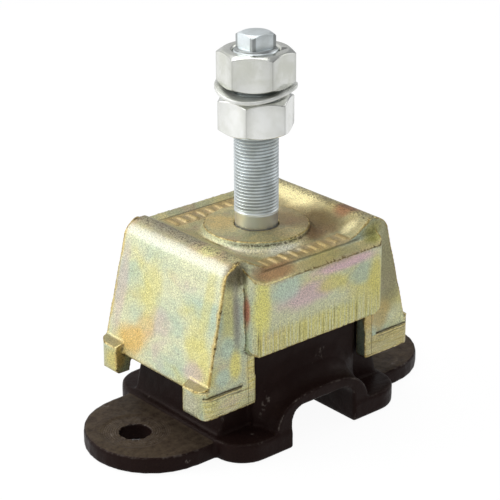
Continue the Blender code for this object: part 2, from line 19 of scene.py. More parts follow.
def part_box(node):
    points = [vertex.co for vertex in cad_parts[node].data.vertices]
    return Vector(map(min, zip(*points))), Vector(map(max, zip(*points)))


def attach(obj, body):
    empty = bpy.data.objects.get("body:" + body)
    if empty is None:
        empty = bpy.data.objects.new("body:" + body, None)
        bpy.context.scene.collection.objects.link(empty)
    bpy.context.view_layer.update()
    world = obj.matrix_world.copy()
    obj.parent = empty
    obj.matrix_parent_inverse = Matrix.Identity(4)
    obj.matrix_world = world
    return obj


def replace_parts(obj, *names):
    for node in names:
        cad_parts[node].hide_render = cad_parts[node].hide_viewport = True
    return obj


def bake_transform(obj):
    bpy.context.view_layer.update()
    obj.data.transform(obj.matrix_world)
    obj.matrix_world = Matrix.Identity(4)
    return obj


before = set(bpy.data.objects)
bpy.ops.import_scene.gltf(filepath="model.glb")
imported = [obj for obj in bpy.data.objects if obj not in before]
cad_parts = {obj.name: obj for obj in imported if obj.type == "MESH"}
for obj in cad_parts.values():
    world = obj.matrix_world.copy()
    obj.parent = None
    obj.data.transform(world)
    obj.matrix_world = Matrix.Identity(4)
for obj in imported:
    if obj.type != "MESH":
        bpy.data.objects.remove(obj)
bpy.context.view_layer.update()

LOG = logging.getLogger("engine_mount")
MM_PER_M = 1000
BOLT_X = 0.070
MERGE = 2e-6
SPIN_MERGE = 1e-7

Colour = tuple[float, float, float]
Span = tuple[float, float]
Stroke = tuple[float, float, float]
Socket = bpy.types.NodeSocket
Mesh = bmesh.types.BMesh
Material = bpy.types.Material
Piece = bpy.types.Object


class Body(Enum):
    """The rigid bodies that pieces ride on."""

    BASE = "base"
    COVER = "cover"
    LOWER_NUT = "lower_nut_group"
    UPPER_NUT = "upper_nut_group"


class Graph:
    """A thin builder over a material's or a world's node tree."""

    def __init__(self, tree: bpy.types.NodeTree) -> None:
        """Start on a tree, emptied first.

        Args:
            tree: the node tree to fill.
        """
        self.tree = tree
        self.split: bpy.types.Node | None = None
        tree.nodes.clear()

    def node(self, kind: str, inputs: dict[str | int, object] | None = None,
             **values: object) -> bpy.types.Node:
        """Add a node.

        Args:
            kind: the node's type name, without its ShaderNode.
            inputs: what feeds its inputs, by name or number.
            values: its own properties, by name.

        Returns:
            The node.
        """
        node = self.tree.nodes.new("ShaderNode" + kind)
        for key, value in values.items():
            setattr(node, key, value)
        for key, value in (inputs or {}).items():
            self.feed(node.inputs[key], value)
        return node

    def feed(self, socket: Socket, value: Socket | float | Colour) -> None:
        """Link a socket to another, or set its value.

        Args:
            socket: the input.
            value: an output to link, a number or a colour.
        """
        if isinstance(value, bpy.types.NodeSocket):
            self.tree.links.new(value, socket)
        elif isinstance(value, tuple) and socket.type == "RGBA":
            socket.default_value = (*value, 1.0)
        else:
            socket.default_value = value

    def coordinates(self, stretch: tuple[float, float, float] = (1, 1, 1),
                    turn: tuple[float, float, float] = (0, 0, 0)) -> Socket:
        """Object coordinates, turned and stretched.

        Args:
            stretch: scale on each axis.
            turn: rotation in degrees.

        Returns:
            The vector.
        """
        source = self.node("TexCoord").outputs["Object"]
        turned = [math.radians(angle) for angle in turn]
        return self.node("Mapping", {"Vector": source, "Scale": stretch,
                                     "Rotation": turned}).outputs["Vector"]

    def cloud(self, scale: float, detail: float = 3.0, roughness: float = 0.55,
              vector: Socket | None = None, distortion: float = 0.0) -> Socket:
        """A noise value.

        Args:
            scale: features per metre.
            detail: octaves.
            roughness: weight of the finer octaves.
            vector: where to read it; plain object coordinates if not given.
            distortion: how far it is bent by itself.

        Returns:
            The value, about 0 to 1.
        """
        return self.node("TexNoise", {
            "Vector": vector or self.coordinates(), "Scale": scale, "Detail": detail,
            "Roughness": roughness, "Distortion": distortion}).outputs["Fac"]

    def ramp(self, value: Socket, stops: Iterable[tuple[float, Colour | float]]) -> Socket:
        """A colour ramp.

        Args:
            value: what drives it.
            stops: pairs of place and colour, or place and grey level.

        Returns:
            The colour.
        """
        node = self.node("ValToRGB", {"Fac": value})
        points = node.color_ramp.elements
        pairs = [(at, c if isinstance(c, tuple) else (c, c, c)) for at, c in stops]
        while len(points) < len(pairs):
            points.new(1.0)
        for point, (at, colour) in zip(points, pairs):
            point.position = at
            point.color = (*colour, 1.0)
        return node.outputs["Color"]

    def math(self, operation: str, *values: Socket | float, clamp: bool = False) -> Socket:
        """A math node's result, kept between 0 and 1 by clamp."""
        return self.node("Math", dict(enumerate(values)), operation=operation,
                         use_clamp=clamp).outputs[0]

    def blend(self, share: Socket | float, first: Socket | Colour, second: Socket | Colour,
              mode: str = "MIX") -> Socket:
        """A mix of two colours, the first at share 0 and the second at share 1."""
        return self.node("Mix", {0: share, 6: first, 7: second}, data_type="RGBA",
                         blend_type=mode).outputs[2]

    def axis(self, vector: Socket, index: int) -> Socket:
        """One component of a vector."""
        return self.node("SeparateXYZ", {0: vector}).outputs[index]

    def place(self, index: int) -> Socket:
        """One component of the object coordinates.

        Args:
            index: the axis.

        Returns:
            The component; all three come from one node.
        """
        if self.split is None:
            self.split = self.node("SeparateXYZ", {0: self.coordinates()})
        return self.split.outputs[index]

    def away(self, index: int) -> Socket:
        """How far a point lies from the middle, along one axis."""
        return self.math("ABSOLUTE", self.place(index))

    def normal(self, index: int) -> Socket:
        """One component of the surface's normal."""
        return self.axis(self.node("NewGeometry").outputs["Normal"], index)

    def facing(self, index: int) -> Socket:
        """How far a surface faces along one axis, either way."""
        return self.math("ABSOLUTE", self.normal(index))

    def radius(self, x: float = 0.0) -> Socket:
        """How far a point lies, in plan, from an upright axis at x or its mirror image."""
        sides = self.math("SUBTRACT", self.away(0), x), self.place(1)
        return self.math("SQRT", self.math("ADD", *(self.math("POWER", s, 2.0) for s in sides)))

    def product(self, *values: Socket | float) -> Socket:
        """The product of several values."""
        return reduce(lambda first, second: self.math("MULTIPLY", first, second), values)

    def rest(self, share: Socket) -> Socket:
        """What a share leaves of one."""
        return self.math("SUBTRACT", 1.0, share)

    def between(self, share: Socket, low: float, high: float) -> Socket:
        """The value at a share of the way from low to high."""
        return self.math("ADD", self.product(share, high - low), low)

    def window(self, value: Socket, low: float, high: float) -> Socket:
        """A smooth step.

        Args:
            value: what is tested.
            low: where the step is 0.
            high: where it is 1; it may be the smaller.

        Returns:
            The share.
        """
        return self.node("MapRange", {
            "Value": value, "From Min": min(low, high), "From Max": max(low, high),
            "To Min": float(low > high), "To Max": float(low < high)},
            interpolation_type="SMOOTHSTEP").outputs["Result"]

    def line(self, value: Socket, level: float, gone: float, full: float) -> Socket:
        """A soft line where a value is at a level, gone and full at distances from it."""
        off = self.math("ABSOLUTE", self.math("SUBTRACT", value, level))
        return self.window(off, gone, full)

    def patch(self, centre: Vector, reach: Vector, ragged: Socket, soft: float = 0.45) -> Socket:
        """A soft-edged blob about a place.

        Args:
            centre: its middle.
            reach: its half sizes.
            ragged: a noise value that bends its outline.
            soft: share of the reach over which it fades.

        Returns:
            The share, 1 in the middle.
        """
        value = self.node("TexCoord").outputs["Object"]
        for operation, other in (("SUBTRACT", centre), ("DIVIDE", reach)):
            value = self.node("VectorMath", {0: value, 1: other}, operation=operation).outputs[0]
        away = self.node("VectorMath", {0: value}, operation="LENGTH").outputs["Value"]
        bent = self.math("ADD", away, self.product(1.1, ragged))
        return self.window(bent, 1.5 + soft, 1.5 - soft)

    def worn(self, low: float, high: float) -> Socket:
        """How much a point lies on an edge, outward or, with low above high, inward."""
        return self.window(self.node("NewGeometry").outputs["Pointiness"], low, high)

    def bumps(self, *layers: tuple[Socket, float, float]) -> Socket:
        """A normal made of stacked bump layers.

        Args:
            layers: height, strength and depth in metres, from the coarsest.

        Returns:
            The normal.
        """
        below = {}
        for height, strength, depth in layers:
            node = self.node("Bump", {"Height": height, "Strength": strength,
                                      "Distance": depth, **below})
            below = {"Normal": node.outputs["Normal"]}
        return below["Normal"]

    def surface(self, **values: Socket | float | Colour) -> None:
        """Finish a material with a Principled shader.

        Args:
            values: its inputs, by name, with _ for a space.
        """
        inputs = {key.replace("_", " "): value for key, value in values.items()}
        shader = self.node("BsdfPrincipled", inputs)
        self.node("OutputMaterial", {"Surface": shader.outputs[0]})

    def two_shaders(self, output: str, share: Socket, first: bpy.types.Node,
                    second: bpy.types.Node) -> None:
        """Finish a tree with a mix of two shaders, the second at share 1."""
        mix = self.node("MixShader", {0: share, 1: first.outputs[0], 2: second.outputs[0]})
        self.node(output, {"Surface": mix.outputs[0]})


class Coat:
    """A colour built up in layers, each laid over the last."""

    def __init__(self, graph: Graph, ground: Socket) -> None:
        """Start from a ground colour."""
        self.graph = graph
        self.colour = ground

    def add(self, tint: Socket | Colour, amount: float, *shares: Socket) -> None:
        """Lay a colour over what is there, by an amount and the product of the shares."""
        self.colour = self.graph.blend(self.graph.product(amount, *shares), self.colour, tint)


def new_material(name: str) -> tuple[Material, Graph]:
    """An empty node material.

    Args:
        name: its name.

    Returns:
        The material and its graph.
    """
    material = bpy.data.materials.new(name)
    material.use_nodes = True
    return material, Graph(material.node_tree)


@dataclass(frozen=True)
class StainOrLight:
    """A patch on the film: some have a colour of their own, some are painted highlights and some
    painted shade; places and sizes in millimetres.
    """

    centre: tuple[float, float, float]
    reach: tuple[float, float, float]
    colour: Colour
    share: float


@dataclass(frozen=True)
class YellowZinc:
    """Yellow passivated zinc over a blasted forged skin, with drifting interference colours,
    painted highlights and painted shade.

    A Span runs from where a share is 0 to where it is 1. A Stroke is a line's level, and the
    distances from it at which the line is gone and full.
    """

    name: str = "yellow_zinc"
    pale: Colour = (0.66, 0.67, 0.45)
    lemon: Colour = (0.68, 0.62, 0.20)
    olive: Colour = (0.40, 0.35, 0.16)
    gold: Colour = (0.66, 0.50, 0.18)
    aqua: Colour = (0.48, 0.57, 0.44)
    lilac: Colour = (0.60, 0.48, 0.44)
    copper: Colour = (0.46, 0.27, 0.13)
    orange: Colour = (0.74, 0.48, 0.14)
    brass: Colour = (0.42, 0.30, 0.09)
    bronze: Colour = (0.50, 0.38, 0.17)
    moss_shade: Colour = (0.25, 0.22, 0.11)
    grey: Colour = (0.36, 0.34, 0.32)
    # Dark soot for cut marks and spots, also used for painted shade.
    soot_and_shade: Colour = (0.07, 0.045, 0.02)
    # Bright brass for worn edges, also used for painted highlights.
    rim: Colour = (0.90, 0.78, 0.40)
    straw: Colour = (0.80, 0.72, 0.24)
    oat: Colour = (0.80, 0.78, 0.50)
    honey: Colour = (0.80, 0.66, 0.26)
    highlight_cream: Colour = (0.95, 0.93, 0.78)
    roughness: Span = (0.34, 0.50)
    grain_per_m: float = 1900.0
    upward: Span = (0.50, 0.92)
    sideways: Span = (0.60, 0.85)
    outward: Span = (0.75, 0.92)
    hollow_shade: Span = (0.494, 0.465)
    proud: Span = (0.506, 0.540)
    wander: float = 0.004
    wall_slope: float = 0.02968
    border_x: Span = (0.0420, 0.0435)
    border_y: Span = (0.0368, 0.0390)
    border_z: Span = (0.0345, 0.0315)
    leg_y: Span = (0.0340, 0.0345)
    leg_end_y: Span = (0.0405, 0.0395)
    leg_low_z: Span = (0.0490, 0.0475)
    far_leg_x: Span = (0.0280, 0.0300)
    trim_edge: float = 0.0003
    strip_x: float = 0.0368
    strip_edge_shade: Stroke = (0.0368, 0.00035, 0.00010)
    band_z: float = 0.0337
    band_groove_shade: Stroke = (0.0343, 0.00060, 0.00015)
    band_under_shade: Stroke = (0.0329, 0.00040, 0.00010)
    band_highlight: Stroke = (0.0336, 0.00045, 0.00015)
    beside_x: Span = (0.0395, 0.0407)
    panel_x: Span = (0.0388, 0.0378)
    panel_y: Span = (0.0405, 0.0413)
    shear_z: Span = (0.0580, 0.0460)
    shear_tooth: float = -0.012
    ledge_x: Span = (0.0570, 0.0580)
    ledge_y: Span = (0.0232, 0.0238)
    ledge_foot_z: Span = (0.0362, 0.0369)
    ledge_top_z: Span = (0.0389, 0.0383)
    ledge_highlights: tuple[Stroke, ...] = ((0.0363, 0.0006, 0.0002), (0.0393, 0.0006, 0.0002))
    bar_x: Span = (0.0246, 0.0236)
    bar_y: Stroke = (0.0312, 0.0052, 0.0042)
    bar_top_z: Span = (0.0838, 0.0845)
    step_shade_x: Span = (0.0300, 0.0260)
    step_shade_z: Span = (0.0820, 0.0825)
    step_shade_y: Stroke = (0.0362, 0.0005, 0.0001)
    lip_y: Span = (0.0395, 0.0410)
    lip_z: Span = (0.0775, 0.0790)
    curl_x: Span = (-0.0100, -0.0200)
    curl_from: Span = (0.15, 0.35)
    curl_to: Span = (0.93, 0.80)
    crest_z: Span = (0.0890, 0.0902)
    boss_inner_r: Span = (0.0225, 0.0240)
    boss_outer_r: Span = (0.0320, 0.0285)
    boss_z: Span = (0.0874, 0.0866)
    boss_front_y: Span = (-0.0040, -0.0140)
    foot_z: Stroke = (0.0862, 0.0008, 0.0002)
    glint_x: Span = (0.0120, -0.0040)
    glint_z: Span = (0.0853, 0.0847)

    def stains_and_painted_light(self) -> list[StainOrLight]:
        """The patches that show on the mount, by place: colours of the film, painted highlights and
        painted shade.

        Returns:
            The patches, from the lowest layer.
        """
        rows = (
            ((-57, 18, 42), (20, 10, 7), self.orange, 0.80),
            ((-56, 11, 50), (20, 6, 6), self.orange, 0.50),
            ((-52, 10, 66), (20, 6, 14), self.lemon, 0.55),
            ((-57, -26, 41), (18, 7, 5), self.lilac, 0.70),
            ((-51, 31, 62), (16, 4, 18), self.lilac, 0.60),
            ((-50, -27, 72), (16, 3.5, 16), self.lemon, 0.45),
            # Painted highlight along the bend of the left ridge.
            ((-45, 0, 87), (3.5, 60, 2.4), (0.80, 0.79, 0.68), 0.60),
            # Painted shade on the up-facing crest of the left ridge.
            ((-39, 14, 92), (7.5, 24, 3.8), (0.34, 0.31, 0.24), 0.70),
            ((-46, -36, 68), (4, 3, 12), (0.80, 0.74, 0.26), 0.60),
            ((-47, -36, 54), (3.5, 3, 5), (0.60, 0.71, 0.56), 0.90),
            ((-50, -37, 41), (4, 3, 4), (0.60, 0.71, 0.56), 0.90),
            ((-43, -37, 45), (3, 3, 7), (0.86, 0.78, 0.26), 0.90),
            ((-34, -37, 40), (4, 3, 9), (0.88, 0.72, 0.24), 0.90),
            ((-47, -37, 28), (5, 3, 4), (0.74, 0.62, 0.54), 0.70),
            ((-61, 26, 30), (4, 6, 6), self.lemon, 0.80),
            ((-61, 22, 31), (4, 3, 5), self.orange, 0.70),
            ((-61, -28, 30), (4, 5, 6), (0.76, 0.82, 0.68), 0.85),
            ((-57, -36, 29), (4, 4, 6), self.lemon, 0.75),
            # Painted shade beneath the front arch of the left ridge.
            ((-42, -36, 86), (6, 4, 6.5), (0.13, 0.10, 0.05), 0.85),
            ((-42, -37, 67), (2, 3, 15), self.grey, 0.70),
            ((-38.6, -38.6, 69), (1.2, 2, 8), (0.50, 0.16, 0.10), 0.85),
            ((-33, -42, 68), (5, 3, 17), (0.84, 0.78, 0.24), 0.90),
            ((-27, -42, 53), (9, 3, 5), self.orange, 0.55),
            ((-8, -42, 69), (15, 3, 5.5), (0.68, 0.52, 0.52), 0.90),
            ((15, -42, 77.5), (18, 3, 3), (0.72, 0.52, 0.54), 0.95),
            ((-19, -42, 75), (8, 3, 6), (0.54, 0.66, 0.54), 0.80),
            ((8, -42, 70), (9, 3, 3.5), self.lemon, 0.75),
            ((25, -42, 70), (8, 3, 5), self.aqua, 0.80),
            ((34, -42, 63), (5, 3, 13), self.lemon, 0.90),
            ((0, -42, 53), (28, 3, 5), (0.80, 0.74, 0.24), 0.70),
            # Painted shade on the inner face of the right front leg.
            ((29.8, -36, 40), (1.6, 8, 14), (0.20, 0.10, 0.05), 0.95),
            ((34, -38, 44), (4, 3, 6), (0.80, 0.50, 0.16), 0.90),
            # Painted shade that darkens the right end wall's front flange.
            ((48, -36, 68), (10, 4, 24), (0.27, 0.24, 0.12), 0.80),
            ((43, -37, 42), (6, 4, 7), (0.52, 0.40, 0.16), 0.80),
            ((-22, -38, 83), (12, 5, 5), self.copper, 0.90),
            ((10, -40, 82), (20, 4, 4), self.olive, 0.60),
            ((36, -38, 85), (6, 4, 5), (0.36, 0.36, 0.10), 0.85),
            ((32, 0, 87), (12, 40, 6), (0.34, 0.27, 0.12), 0.60),
            # Painted highlight along the right ridge's inner slope.
            ((35, 14, 88), (6, 19, 5), (0.94, 0.82, 0.44), 0.95),
            # Painted shade in the trough to the right of the boss.
            ((27, -12, 85), (9, 13, 5), (0.15, 0.10, 0.04), 0.85),
            ((38, -18, 89), (6, 6, 6), (0.36, 0.16, 0.08), 0.80),
            # Painted highlight at the front of the trough right of the boss.
            ((31, -29, 85), (6, 3, 4), (0.95, 0.84, 0.48), 0.90),
            # Painted shade on the right front of the boss's fillet.
            ((16, -20, 85), (11, 7, 3), (0.25, 0.15, 0.07), 0.90),
            # Painted highlight on the front of the boss's fillet.
            ((-8, -25, 85), (10, 3, 2.5), (0.92, 0.90, 0.72), 0.80),
            ((-12, 12, 88), (9, 9, 3), self.orange, 0.35),
            ((14, -6, 88), (8, 12, 2), (0.30, 0.20, 0.09), 0.70),
        )
        return [StainOrLight(*row) for row in rows]

    def film(self, g: Graph) -> Coat:
        """The interference film: soft drifts, browner where it faces up, partly in a tone of its
        own and partly as painted shade, and the patches, among them painted highlights and painted
        shade.

        Args:
            g: the material's graph.

        Returns:
            The coat so far.
        """
        lean = g.coordinates(stretch=(0.8, 0.8, 1.6), turn=(0, 32, 0))
        ground = g.window(g.cloud(30.0, 3.0, 0.5, lean, 0.3), 0.42, 0.62)
        coat = Coat(g, g.blend(ground, self.pale, self.aqua))
        for scale, turn, span, tint, amount in (
                (24.0, (40, 10, 0), (0.50, 0.68), self.lemon, 0.75),
                (33.0, (10, 60, 20), (0.56, 0.70), self.lilac, 0.60),
                (18.0, (70, 0, 50), (0.60, 0.76), self.gold, 0.50)):
            drift = g.cloud(scale, 3.0, 0.5, g.coordinates(stretch=(1, 1, 1.3), turn=turn), 0.3)
            coat.add(tint, amount, g.window(drift, *span))
        top_tone_and_shade = g.ramp(g.cloud(34.0, 4.0, 0.6), [(0.30, self.olive), (0.44, self.gold),
                                                   (0.52, self.olive), (0.60, self.copper),
                                                   (0.70, self.lemon)])
        # Up-facing surfaces browner: partly their own tone, partly painted shade.
        coat.add(top_tone_and_shade, 0.60, g.window(g.normal(2), *self.upward))
        ragged = g.cloud(75.0, 4.0, 0.6)
        # Lay the patches, among them painted highlights and painted shade.
        for stain_or_light in self.stains_and_painted_light():
            here = g.patch(Vector(stain_or_light.centre) / MM_PER_M, Vector(stain_or_light.reach) / MM_PER_M, ragged)
            coat.add(stain_or_light.colour, stain_or_light.share, here)
        return coat

    def border(self, g: Graph) -> Socket:
        """Where the end walls have their yellower border.

        Args:
            g: the material's graph.

        Returns:
            The share.
        """
        wander = g.product(self.wander, g.cloud(150.0, 3.0))
        z = g.math("SUBTRACT", g.place(2), wander)
        y = g.math("ADD", g.math("ADD", g.away(1), g.product(self.wall_slope, g.place(2))), wander)
        rim = g.math("MAXIMUM", g.window(y, *self.border_y),
                     g.product(0.4, g.window(z, *self.border_z)))
        return g.product(rim, g.window(g.facing(0), *self.outward),
                         g.window(g.away(0), *self.border_x))

    def legs(self, g: Graph) -> tuple[Socket, Socket, Socket]:
        """Where the legs are trimmed, and where painted shade in a groove and a painted highlight
        on a lip go over their bands.

        Args:
            g: the material's graph.

        Returns:
            The shares of trimmed surface, of painted shade in the grooves, beneath the lips and
            along the strips' edges, and of the painted highlight on the lips.
        """
        x, y, z = g.away(0), g.away(1), g.place(2)
        low = g.window(z, *self.leg_low_z)
        leg = g.product(g.window(y, *self.leg_y), g.window(y, *self.leg_end_y),
                        g.window(g.facing(1), *self.sideways))
        below = g.window(z, self.band_z + self.trim_edge, self.band_z - self.trim_edge)
        inward = g.window(x, self.strip_x + self.trim_edge, self.strip_x - self.trim_edge)
        trimmed = g.product(g.math("MAXIMUM", below, g.product(inward, low)), leg)
        wavy = g.math("ADD", z, g.product(0.0008, g.cloud(160.0, 2.0)))
        beside = g.product(leg, g.window(x, *self.beside_x))
        # Painted shade in the groove over each band and beneath its lip; a painted highlight on the
        # lip.
        groove, under_shade, lip = (g.product(g.line(wavy, *stroke), beside)
                              for stroke in (self.band_groove_shade, self.band_under_shade, self.band_highlight))
        # Painted shade along the step at each strip's edge.
        wobbly = g.math("ADD", x, g.product(0.0003, g.cloud(700.0, 2.0)))
        upright = g.product(g.line(wobbly, *self.strip_edge_shade), leg, low)
        groove = g.math("MAXIMUM", groove, g.product(0.55, g.math("MAXIMUM", under_shade, upright)))
        return trimmed, groove, lip

    def panels(self, g: Graph) -> Socket:
        """Where the panels are sheared, with a toothed upper end.

        Args:
            g: the material's graph.

        Returns:
            The share.
        """
        tooth = g.cloud(420.0, 1.0, 0.5, g.coordinates(stretch=(1, 0, 0)))
        ragged = g.math("ADD", g.place(2), g.product(self.shear_tooth, tooth))
        return g.product(g.window(g.away(1), *self.panel_y), g.window(g.away(0), *self.panel_x),
                         g.window(ragged, *self.shear_z), g.window(g.facing(1), *self.sideways))

    def ledges(self, g: Graph, coat: Coat) -> None:
        """Paint shade on the ledges over the pads, and a painted highlight along both of their
        edges.

        Args:
            g: the material's graph.
            coat: the coat that takes the shades.
        """
        z = g.place(2)
        out = g.product(g.window(g.away(0), *self.ledge_x), g.window(g.away(1), *self.ledge_y))
        coat.add(self.moss_shade, 0.80, out, g.window(z, *self.ledge_foot_z),
                 g.window(z, *self.ledge_top_z))
        for stroke in self.ledge_highlights:
            coat.add(self.rim, 0.75, out, g.line(z, *stroke))

    def strips(self, g: Graph, coat: Coat) -> Socket:
        """Colour the strips of raised bars, and paint shade along the step beside each.

        Args:
            g: the material's graph.
            coat: the coat that takes the shades.

        Returns:
            Where the strips are.
        """
        x, y, z = g.away(0), g.away(1), g.place(2)
        barred = g.product(g.line(y, *self.bar_y), g.window(x, *self.bar_x))
        coat.add(self.copper, 0.40, barred)
        coat.add(self.bronze, 0.80, barred, g.window(z, *self.bar_top_z))
        # Painted shade along the step from each strip down to the facet.
        coat.add(self.soot_and_shade, 0.60, g.line(y, *self.step_shade_y), g.window(z, *self.step_shade_z),
                 g.window(x, *self.step_shade_x))
        return barred

    def edges(self, g: Graph, coat: Coat, barred: Socket) -> None:
        """Wear the edges brassy, with bright spots that are partly wear and partly painted
        highlight, and sooty spots; paint a highlight at the facets' curl and painted shade on the
        other edges along their lip.

        Args:
            g: the material's graph.
            coat: the coat that takes the wear.
            barred: where the strips of bars are, which are worn less.
        """
        edge = g.product(g.worn(*self.proud), g.rest(g.product(0.85, barred)))
        spotted = g.cloud(600.0, 3.0)
        coat.add(self.brass, 0.85, edge)
        # Bright spots on the edges: partly wear, partly painted highlight.
        coat.add(self.rim, 1.0, edge, g.window(spotted, 0.46, 0.36))
        lip = g.product(g.window(g.away(1), *self.lip_y), g.window(g.place(2), *self.lip_z))
        curl_highlight = g.product(lip, g.window(g.place(0), *self.curl_x))
        up = g.normal(2)
        # Painted highlight on the facets' curl, limited by which way it faces.
        coat.add(self.rim, 1.0, curl_highlight, g.window(up, *self.curl_from), g.window(up, *self.curl_to))
        # Painted shade on the other edges along the facets' lip.
        rim_shade = g.product(0.60, g.math("SUBTRACT", lip, curl_highlight))
        spots = g.product(g.window(spotted, 0.57, 0.64), g.rest(curl_highlight))
        coat.add(self.soot_and_shade, 1.0, edge, g.math("ADD", spots, rim_shade, clamp=True))

    def boss(self, g: Graph, coat: Coat) -> None:
        """Paint a highlight on the front of the boss's fillet and shade along the crease at its
        foot, and pit it and the crests of the ridges.

        Args:
            g: the material's graph.
            coat: the coat that takes the shades.
        """
        z, radius = g.place(2), g.radius()
        ring = g.product(g.window(radius, *self.boss_inner_r),
                         g.window(radius, *self.boss_outer_r), g.window(z, *self.boss_z))
        front = g.product(ring, g.window(g.place(1), *self.boss_front_y))
        # Painted highlight on the front of the boss's fillet.
        coat.add(self.highlight_cream, 0.45, front, g.window(z, *self.glint_z),
                 g.window(g.place(0), *self.glint_x))
        # Painted shade along the crease at the boss's foot.
        coat.add(self.soot_and_shade, 0.75, front, g.line(z, *self.foot_z),
                 g.window(g.cloud(900.0, 2.0, 0.7), 0.38, 0.55))
        pitted = g.math("MAXIMUM", g.window(z, *self.crest_z), g.product(0.40, ring))
        coat.add(self.soot_and_shade, 0.75, pitted, g.window(g.cloud(1150.0, 2.0, 0.7), 0.50, 0.40))

    def build(self) -> Material:
        """Make the material.

        Returns:
            The material.
        """
        material, g = new_material(self.name)
        coat = self.film(g)
        coat.add(self.gold, 0.80, self.border(g))
        trimmed, groove, lip = self.legs(g)
        sheared = self.panels(g)
        cuts = g.cloud(1.0, 3.0, 0.6, g.coordinates(stretch=(60, 60, 1500)))
        lines = g.cloud(1.0, 3.0, 0.6, g.coordinates(stretch=(1100, 0, 24)))
        coat.add(g.ramp(cuts, [(0.29, self.soot_and_shade), (0.36, self.brass), (0.41, self.straw),
                               (0.52, self.oat), (0.60, self.honey), (0.68, self.lilac)]),
                 0.65, trimmed)
        coat.add(self.brass, 0.45, trimmed, g.window(g.place(0), *self.far_leg_x))
        coat.add(g.ramp(lines, [(0.34, self.soot_and_shade), (0.42, self.lemon), (0.62, self.pale)]),
                 0.80, sheared)
        # Painted shade in the hollows, broken up by noise.
        coat.add(self.soot_and_shade, 0.72, g.worn(*self.hollow_shade), g.window(g.cloud(420.0, 3.0), 0.20, 0.50))
        # Painted highlight on the legs' lips, then painted shade in their grooves and along the
        # strips' edges.
        coat.add(self.rim, 0.80, lip)
        coat.add(self.soot_and_shade, 0.92, groove)
        self.ledges(g, coat)
        self.edges(g, coat, self.strips(g, coat))
        self.boss(g, coat)
        speck = g.cloud(self.grain_per_m, 4.0, 0.85)
        colour = g.blend(0.85, coat.colour, g.ramp(speck, [(0.34, 0.36), (0.50, 1.0), (0.66, 1.7)]),
                         "MULTIPLY")
        normal = g.bumps((g.cloud(160.0, 3.0), 0.45, 0.0008),
                         (g.product(lines, sheared), 0.8, 0.0006),
                         (g.product(cuts, trimmed), 0.7, 0.0005),
                         (speck, 0.9, 0.00025))
        g.surface(Base_Color=colour, Metallic=0.88, Roughness=g.between(speck, *self.roughness),
                  Normal=normal)
        return material


@dataclass(frozen=True)
class BrightZinc:
    """Bright zinc on turned and cold-formed steel, with painted shade in a thread's roots and,
    where asked, along its edges.
    """

    name: str
    tint: Colour
    shade: Colour
    roughness: Span
    metal: float
    root_r: float = 0.0
    crest_r: float = 0.0
    # The colour of the painted shade in a thread's roots.
    root: Colour = (0.10, 0.10, 0.09)
    root_shade_span: Span = (-0.0014, -0.0010)
    neck: Colour = (0.74, 0.79, 0.88)
    neck_z: Span = (0.0943, 0.0939)
    # Share of painted shade along the edges.
    outline: float = 0.0
    edge_shade_tint: Colour = (0.12, 0.12, 0.11)

    def build(self) -> Material:
        """Make the material.

        Returns:
            The material.
        """
        material, g = new_material(self.name)
        cloudy = g.cloud(120.0, 4.0, 0.6)
        coat = Coat(g, g.blend(g.window(cloudy, 0.35, 0.65), self.tint, self.shade))
        if self.crest_r:
            radius = g.radius()
            near, full = self.root_shade_span
            # Painted shade in the thread's roots.
            coat.add(self.root, 0.60, g.window(radius, self.crest_r, self.root_r),
                     g.window(radius, self.root_r + near, self.root_r + full))
            coat.add(self.neck, 1.0, g.window(g.place(2), *self.neck_z))
        # Painted shade along the edges.
        if self.outline:
            coat.add(self.edge_shade_tint, self.outline, g.worn(0.51, 0.56))
        normal = g.bumps((cloudy, 0.12, 0.0003), (g.cloud(2500.0, 2.0), 0.12, 0.00005))
        g.surface(Base_Color=coat.colour, Metallic=self.metal,
                  Roughness=g.between(cloudy, *self.roughness), Normal=normal)
        return material


